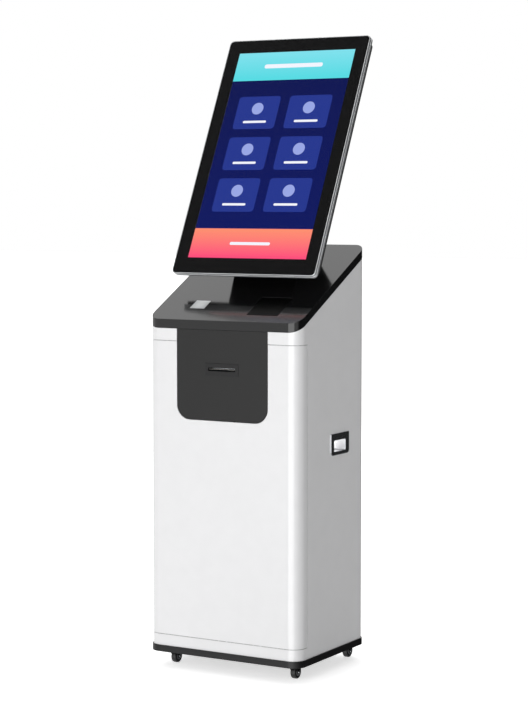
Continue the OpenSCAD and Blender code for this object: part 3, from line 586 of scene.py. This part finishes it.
def picture():
    """Generic menu of blank tiles between two plain bands, in thin stacked layers."""
    width, length, centre_y = picture_size()
    floor_z = reach("lcd_panel", screen)[1].z
    air = 0.05
    layer = 0.12
    band = 0.14
    header, footer = 1 - band / 2, band / 2
    square = 0.3
    tiles = [(u, v) for v in (0.70, 0.50, 0.30) for u in (0.28, 0.72)]
    icon_rise = 0.02
    icon_r = 17

    def show(name, order, outlines, finish):
        """Puts outlines into one layer; a higher order lies nearer to the viewer."""
        low = floor_z + air + order * layer
        shape = Shape(screen)
        for outline in outlines:
            shape.slab(outline, low, low + 0.9 * layer, 0)
        shape.make(name, "cabinet", "lcd_face", finish)

    def spot(u, v):
        return (u - 0.5) * width, centre_y + (v - 0.5) * length

    def plate(u, v, wide, high, corner):
        """Rounded plate; place and size are shares of the picture's own."""
        return rounded(wide * width, high * length, corner, *spot(u, v), 8)

    pale = lit("lit_pale", "#f4f6ff")
    show("picture_ground", 0, [plate(0.5, 0.5, 1, 1, square)], lit("lit_ground", "#101a63", "#0e1650"))
    show("picture_header", 1, [plate(0.5, header, 1, band, square)],
         lit("lit_header", "#57dce4", "#84e3f0", 1 - band, 1))
    show("picture_footer", 1, [plate(0.5, footer, 1, band, square)],
         lit("lit_footer", "#ff3f7f", "#ff8f72", 0, band))
    show("picture_tiles", 1, [plate(u, v, 0.36, 0.16, 9) for u, v in tiles], lit("lit_tile", "#27388f"))
    show("picture_icons", 2, [disc(icon_r, *spot(u, v + icon_rise), 48) for u, v in tiles],
         lit("lit_icon", "#9aa8e6"))
    show("picture_captions", 2, [plate(u, v - 0.045, 0.2, 0.011, 3) for u, v in tiles], pale)
    show("picture_headings", 2, [plate(0.5, header, 0.5, 0.02, 5), plate(0.5, footer, 0.34, 0.014, 4)], pale)


def display_back():
    """Screws round the tray behind the display: one in each corner and one in the middle of the top."""
    low, high = reach("screen_tray", screen)
    inset = 16
    top = high.y - inset
    heads = Shape(screen)
    for x in (low.x + inset, 0, high.x - inset):
        for y in (low.y + inset, top):
            if x or y == top:
                heads.screw(4, facing(x, y, low.z, (0, 0, -1)))
    heads.make("tray_screws", "cabinet", "bright_steel", FINISHES["bright_steel"])


# ---------------------------------------------------------------- carry handles

def handle_outline(width, length, low_r, top_r, y=0.0, steps=6):
    """Outline of a rectangle whose lower corners are rounder than its upper ones."""
    def outline(grow=0.0):
        points = []
        corners = [(1, 1, top_r), (-1, 1, top_r), (-1, -1, low_r), (1, -1, low_r)]
        for corner, (sx, sy, radius) in enumerate(corners):
            r = max(radius + grow, 0.02)
            for step in range(steps + 1):
                angle = math.radians(90 * (corner + step / steps))
                points.append((sx * (width / 2 + grow - r) + r * math.cos(angle),
                               y + sy * (length / 2 + grow - r) + r * math.sin(angle), 0))
        return points
    return outline


def handle_flanges():
    """Plated flange round each grip: steep outer wall, softly dished face and a rolled inner edge."""
    low, high = reach("handle_frames")
    cup_low, cup_high = reach("handle_cups")
    proud = high.x - shell_high.x
    wall = 2.5
    nose = 0.9
    width = cup_high.y - cup_low.y - 2 * wall
    length = cup_high.z - cup_low.z - 2 * wall
    drop = (cup_low.z + cup_high.z) / 2 - (low.z + high.z) / 2
    outer = handle_outline(high.y - low.y, high.z - low.z, 9, 2)
    inner = handle_outline(width, length, 3, 3, drop)
    loops = [lifted(outer(), 0), lifted(outer(), proud - nose)]
    loops += [lifted(outer(-nose * (1 - c)), proud - nose * (1 - s)) for s, c in quarter(4)[1:]]
    loops += [lifted(outer(-4), proud - 0.35), lifted(inner(4), proud - 0.75)]
    loops += [lifted(inner(1.2 * (1 - s)), proud - 0.8 - 1.2 * (1 - c)) for s, c in quarter(4)]
    loops += [lifted(inner(), 0)]
    shape = Shape()
    for way in (-1, 1):
        place = Matrix(((0, 0, way), (way, 0, 0), (0, 1, 0))).to_4x4()
        at = shift(way * shell_high.x, (low.y + high.y) / 2, (low.z + high.z) / 2) @ place
        shape.loft(loops, closed=True, at=at)
    o = shape.make("handle_flanges", "cabinet", "chrome_plate", FINISHES["flange_plate"])
    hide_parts("handle_frames")


# ---------------------------------------------------------------- casters

def wheel_hubs():
    """Grey bearing covers on both faces of each wheel."""
    cover = powder_coat("hub_grey", "#6c6d70", 0.35, 0.8, 0.02)
    rim = [(9.5, -0.4), (9.5, 0.2), (9.1, 0.55), (7.6, 0.65), (7.2, 0.35)]
    profile = rim + [(5.2, 0.35), (4.9, 0.6), (4.7, 0.6), (4.7, -0.4)]
    for end in ("front", "rear"):
        for side in ("left", "right"):
            corner = f"{end}_{side}"
            low, high = reach("wheel_" + corner)
            at = (low + high) / 2
            shape = Shape()
            for x, way in ((low.x, -1), (high.x, 1)):
                loops = [lifted(disc(r)(), z) for r, z in profile]
                shape.loft(loops, closed=True, at=facing(x, at.y, at.z, (way, 0, 0)))
            shape.make("hub_covers_" + corner, "wheel_" + corner, "caster_steel", cover)


# ---------------------------------------------------------------- inside and behind

def door_seal():
    """Pale foam strip behind the seams at the top and the bottom of the door, and down both sides."""
    door_low, door_high = reach("door_panel")
    deep = 2.4
    half = shell_high.x - 2.0
    front = shell_low.y + 2.0
    radius = 28
    back = door_high.y + 0.7
    apron_half = reach("front_apron")[1].x + 4

    def track(z0, z1, start_x, way):
        """Strip that runs from a point on the front round one corner to the side."""
        corner = Vector((way * (half - radius), front + radius, 0))
        turns = [math.pi / 2 * i / 8 for i in range(9)]
        path = [(start_x, front, 0, -1)]
        path += [(corner.x + way * radius * math.sin(t), corner.y - radius * math.cos(t),
                  way * math.sin(t), -math.cos(t)) for t in turns]
        path += [(way * half, back + 4, way, 0)]
        return [[(x, y, z0), (x, y, z1), (x - nx * deep, y - ny * deep, z1),
                 (x - nx * deep, y - ny * deep, z0)] for x, y, nx, ny in path]

    shape = Shape()
    for way in (-1, 1):
        shape.loft(track(door_high.z - 3, door_high.z + 5, way * apron_half, way))
        shape.loft(track(door_low.z - 5, door_low.z + 3, way * 0.5, way))
        x0, x1 = way * (half - 1.2) - 1.2, way * (half - 1.2) + 1.2
        shape.loft([[(x0, back - 2, z), (x1, back - 2, z), (x1, back + 6, z), (x0, back + 6, z)]
                    for z in (door_low.z + 3.2, door_high.z - 3.2)])
    shape.make("door_seal", "cabinet", "roller_rubber", SEAL)


def cable_grommet():
    """Rubber ring in the cable hole at the foot of the back, level with the mains inlet."""
    hole_x = 120
    ring = [(11, -3), (11, 0.2), (14, 0.2), (14.6, 1.2), (13.6, 2.2), (10, 2.4), (8, 1.4), (7.6, -3)]
    shape = Shape().loft([lifted(disc(r)(), z) for r, z in ring], closed=True,
                         at=facing(hole_x, shell_high.y, middle("power_inlet").z, (0, 1, 0)))
    shape.make("cable_grommet", "cabinet", "roller_rubber", rubber("grommet_rubber", "#151516", 0.55))


def rear_screws():
    """Screws that hold the fan and the mains inlet."""
    low, high = reach("fan_frame")
    inset = 4.75
    shape = Shape()
    for x in (low.x + inset, high.x - inset):
        for z in (low.z + inset, high.z - inset):
            shape.screw(3.6, facing(x, shell_high.y, z, (0, 1, 0)))
    low, high = reach("power_inlet")
    ear_left, ear_right = 4.5, 3.6
    for x in (low.x + ear_left, high.x - ear_right):
        shape.screw(2.2, facing(x, high.y, (low.z + high.z) / 2, (0, 1, 0)))
    shape.make("rear_screws", "cabinet", "bright_steel", FINISHES["bright_steel"])


def inner_leads():
    """Mains, data and printer leads inside the cabinet; most run down the back wall to the computer."""
    pc_low, pc_high = reach("mini_pc")
    psu_low, psu_high = reach("power_supply")
    inlet = reach("power_inlet")[0]
    fan = reach("fan_frame")[0]
    printer_low, printer_high = reach("printer_chassis")
    shelf_low, shelf_high = reach("equipment_shelf")
    scanner = middle("scanner_module")
    reader = middle("reader_module")
    neck = middle("neck_housing")
    wall = shell_high.y - 12
    hatch_x = 130
    plug_y = pc_high.y - 1    # leads end just inside the computer's back
    supply_y = psu_low.y + 50

    def lead(name, radius, *points):
        cable(name, "cabinet", LEAD, radius, points)

    lead("mains_lead", 3.2,
         (inlet.x + 24, inlet.y - 1, inlet.z + 18), (inlet.x + 20, wall - 40, inlet.z + 8),
         (psu_low.x + 60, psu_high.y + 16, psu_low.z + 22), (psu_low.x + 60, psu_high.y - 1, psu_low.z + 22))
    lead("computer_supply_lead", 2.4,
         (psu_high.x - 1, supply_y, psu_low.z + 20), (psu_high.x + 60, supply_y, psu_low.z + 30),
         (hatch_x, psu_low.y + 60, 180), (hatch_x, psu_low.y + 64, shelf_low.z + 10),
         (hatch_x - 6, psu_low.y + 60, shelf_high.z + 30), (pc_high.x - 1, supply_y, pc_low.z + 20))
    lead("display_lead", 2.8,
         (pc_high.x - 30, plug_y, pc_low.z + 24), (pc_high.x - 20, wall - 10, pc_low.z + 90),
         (70, wall, 480), (74, wall - 4, 760), (40, wall - 60, 900),
         (0, neck.y + 5, 968), (0, neck.y + 10, 1020))
    lead("scanner_lead", 1.8,
         (scanner.x, scanner.y + 18, scanner.z - 10), (scanner.x - 30, scanner.y + 60, scanner.z - 60),
         (scanner.x - 40, wall - 50, 620), (pc_low.x + 20, wall - 20, 420),
         (pc_low.x + 26, plug_y, pc_low.z + 22))
    lead("reader_lead", 1.8,
         (reader.x, reader.y + 20, reader.z - 4), (reader.x + 30, reader.y + 90, reader.z - 70),
         (reader.x + 20, wall - 24, 640), (pc_high.x - 60, wall - 30, 420),
         (pc_high.x - 64, plug_y, pc_low.z + 20))
    lead("printer_lead", 2.0,
         (20, printer_high.y - 1, printer_low.z + 16), (30, printer_high.y + 50, printer_low.z - 20),
         (10, wall - 30, 560), (pc_low.x + 66, wall - 26, 420), (pc_low.x + 66, plug_y, pc_low.z + 20))
    lead("fan_lead", 1.4,
         (fan.x + 8, fan.y + 8, fan.z + 2), (fan.x - 20, wall - 6, fan.z - 60),
         (pc_low.x + 100, wall - 24, 400), (pc_low.x + 100, plug_y, pc_low.z + 18))


def computer_ports():
    """Sockets on the front of the small computer."""
    low, high = reach("mini_pc")
    face = facing(0, low.y, 0, (0, -1, 0))
    into = face.inverted()
    wide_ones = (high.x - 40, high.x - 62)
    small_one = high.x - 80

    def at(x):
        return face @ Matrix.Translation(into @ Vector((x, low.y, low.z + 22)))

    sockets = Shape()
    for x in wide_ones:
        sockets.slab(rounded(15, 7.5, 0.8), -0.5, 0.6, 0.3, at(x))
    sockets.slab(rounded(10, 4, 1.9), -0.5, 0.6, 0.3, at(small_one))
    sockets.make("computer_sockets", "cabinet", "bright_steel", FINISHES["bright_steel"])
    tongues = Shape()
    for x in wide_ones:
        tongues.slab(rounded(12.4, 4.8, 0.4), 0.55, 0.75, 0.1, at(x))
    tongues.make("socket_tongues", "cabinet", "black_plastic", FINISHES["black_plastic"])


def paper_web():
    """Paper that runs from the top of the roll over the platen and stops inside the slot."""
    roll_low, roll_high = reach("paper_roll")
    platen_low, platen_high = reach("platen_roller")
    roll = (roll_low + roll_high) / 2
    platen = (platen_low + platen_high) / 2
    half = (roll_high.x - roll_low.x) / 2
    roll_r = (roll_high.z - roll_low.z) / 2
    platen_r = (platen_high.z - platen_low.z) / 2
    slot = middle("slot_bezel")
    thick = 0.25
    path = [(roll.y, roll.z + roll_r + 0.1)]
    path += [(platen.y + 6, platen.z + platen_r + 1.6), (platen.y, platen.z + platen_r + 0.4),
             (platen.y - 10, slot.z), (shell_low.y + 4, slot.z)]
    loops = [[(-half, y, z), (half, y, z), (half, y, z + thick), (-half, y, z + thick)] for y, z in path]
    Shape().loft(loops).make("paper_web", "cabinet", "paper", FINISHES["paper"])


def scanner_optics():
    """Dark stepped lens inside the scanner's well."""
    low, high = reach("scanner_module", slope)
    seat = low.z + 30
    at = slope @ shift((low.x + high.x) / 2, (low.y + high.y) / 2, seat)
    shape = Shape().turn([(0.05, 0), (12, 0), (12, 3), (9, 5), (6, 6.2), (3, 6.8), (0.05, 7)], at)
    shape.make("scanner_lens", "cabinet", "reader_gloss", FINISHES["reader_gloss"])


# ---------------------------------------------------------------- studio

def floor():
    """Pale floor whose own glow grows with distance, so that it runs into the white surroundings."""
    f = Finish("pale_floor", "#f6f6f6", 0.8)
    f.shade(f.noise(400, 2), 0.01)
    away = f.add("VectorMath", {"operation": "LENGTH"})
    f.feed(away.inputs[0], f.where)
    near, far = 0.6, 5.0
    glow = f.level(away.outputs["Value"], 0.60, 1.0, near, far)
    seen = f.add("Math", {"operation": "MULTIPLY"})
    f.feed(seen.inputs[0], glow)
    f.feed(seen.inputs[1], f.add("LightPath").outputs["Is Camera Ray"])
    f.set(Emission_Color=tone("#ffffff"), Emission_Strength=seen.outputs[0])
    bpy.ops.mesh.primitive_plane_add(size=60, location=(0, 0, 0))
    plane = bpy.context.object
    plane.name = "floor"
    plane.data.materials.append(f.material)
    plane.visible_glossy = False


class Sky:
    """World shader under construction: strengths that depend on the direction looked at."""

    def __init__(self):
        world = bpy.data.worlds.new("studio")
        bpy.context.scene.world = world
        world.use_nodes = True
        self.tree = world.node_tree
        self.tree.nodes.clear()
        self.out = self.node("OutputWorld")
        self.back = self.node("Background")
        self.back.inputs["Color"].default_value = (1, 1, 1, 1)
        self.tree.links.new(self.back.outputs[0], self.out.inputs["Surface"])
        self.where = self.node("TexCoord").outputs["Generated"]
        level = self.node("VectorMath", operation="MULTIPLY")
        self.tree.links.new(self.where, level.inputs[0])
        level.inputs[1].default_value = (1, 1, 0)
        compass = self.node("VectorMath", operation="NORMALIZE")
        self.tree.links.new(level.outputs[0], compass.inputs[0])
        self.compass = compass.outputs[0]

    def node(self, kind, **settings):
        node = self.tree.nodes.new("ShaderNode" + kind)
        for key, value in settings.items():
            setattr(node, key, value)
        return node

    def towards(self, where, direction, none, full):
        """0 to 1 as a direction comes nearer to `direction`; none and full are cosines."""
        dot = self.node("VectorMath", operation="DOT_PRODUCT")
        self.tree.links.new(where, dot.inputs[0])
        dot.inputs[1].default_value = Vector(direction).normalized()
        ramp = self.node("MapRange", interpolation_type="SMOOTHSTEP")
        ramp.inputs["From Min"].default_value = none
        ramp.inputs["From Max"].default_value = full
        self.tree.links.new(dot.outputs["Value"], ramp.inputs["Value"])
        return ramp.outputs[0]

    def mix(self, factor, first, second):
        node = self.node("Mix")
        for socket, value in zip((node.inputs[0], node.inputs[2], node.inputs[3]), (factor, first, second)):
            if isinstance(value, bpy.types.NodeSocket):
                self.tree.links.new(value, socket)
            else:
                socket.default_value = value
        return node.outputs[0]


def studio_world():
    """White surroundings, with a shaded right rear.

    Gloss sees the right rear dark, a bright box in front, a lit patch over the rear left, which the
    cap mirrors, a dim one over the front left, which the display mirrors, and a duller floor.
    """
    sky = Sky()
    right_rear = (0.63, 0.77, 0)
    front = (0.07, -1, 0)
    over_rear_left = (-0.50, 0.51, 0.69)
    over_front_left = (-0.50, -0.54, 0.67)
    down = (0, 0, -1)
    shade = sky.mix(sky.towards(sky.where, right_rear, 0.1, 0.85), 0.60, 0.32)
    gloss = sky.mix(sky.towards(sky.compass, right_rear, 0.1, 0.5), 1.0, 0.03)
    gloss = sky.mix(sky.towards(sky.compass, front, 0.87, 0.895), gloss, 3.4)
    gloss = sky.mix(sky.towards(sky.where, over_rear_left, 0.72, 0.84), gloss, 1.52)
    gloss = sky.mix(sky.towards(sky.where, over_front_left, 0.80, 0.90), gloss, 0.35)
    gloss = sky.mix(sky.towards(sky.where, down, 0.3, 0.6), gloss, 0.7)
    ray = sky.node("LightPath")
    strength = sky.mix(ray.outputs["Is Glossy Ray"], shade, gloss)
    strength = sky.mix(ray.outputs["Is Camera Ray"], strength, 1.0)
    sky.tree.links.new(strength, sky.back.inputs["Strength"])


def softbox(name, place, aim, width, height, watts):
    """Soft light that is seen neither by the camera nor in gloss; the sky stands in for it there."""
    data = bpy.data.lights.new(name, "AREA")
    data.shape = "RECTANGLE"
    data.size = width
    data.size_y = height
    data.energy = watts
    lamp = bpy.data.objects.new(name, data)
    lamp.location = place
    lamp.rotation_mode = "QUATERNION"
    lamp.rotation_quaternion = (Vector(aim) - Vector(place)).to_track_quat("-Z", "Y")
    lamp.visible_camera = False
    lamp.visible_glossy = False
    bpy.context.scene.collection.objects.link(lamp)
    return lamp


def cup_light():
    """Soft light beyond the dark side that only the grip cups mirror, so that their floor reads pale."""
    cups = bpy.data.collections.new("cups")
    cups.objects.link(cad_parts["handle_cups"])
    low, high = reach("handle_cups")
    aim = Vector((high.x, (low.y + high.y) / 2, (low.z + high.z) / 2)) * MM
    mirrored = Vector((1.0, 1.7, -0.1))
    lamp = softbox("cup_softbox", aim + mirrored, aim, 2.4, 2.4, 50)
    lamp.visible_glossy = True
    lamp.light_linking.receiver_collection = cups


def camera():
    """Long lens off the right front corner, level with the lower part of the display and tipped down."""
    tip = 4.655
    round_to = 30.36
    data = bpy.data.cameras.new("camera")
    data.sensor_fit = "HORIZONTAL"
    data.sensor_width = 36
    data.lens = 138.0
    eye = bpy.data.objects.new("camera", data)
    eye.location = (2.614, -4.458, 1.199)
    eye.rotation_euler = (math.radians(90 - tip), 0, math.radians(round_to))
    bpy.context.scene.collection.objects.link(eye)
    bpy.context.scene.camera = eye


def studio():
    floor()
    studio_world()
    softbox("front_softbox", (0.4, -5.4, 1.6), (0, 0, 0.8), 5.8, 3.2, 122)
    softbox("rear_softbox", (-1.8, 1.9, 3.4), (0, 0, 0.9), 3.0, 3.0, 52)
    cup_light()
    camera()
    scene = bpy.context.scene
    scene.view_settings.view_transform = "Standard"
    scene.cycles.use_denoising = True


dress_cad()
display_frame()
cover_glass()
picture()
display_back()
handle_flanges()
wheel_hubs()
door_seal()
cable_grommet()
rear_screws()
inner_leads()
computer_ports()
paper_web()
scanner_optics()
studio()
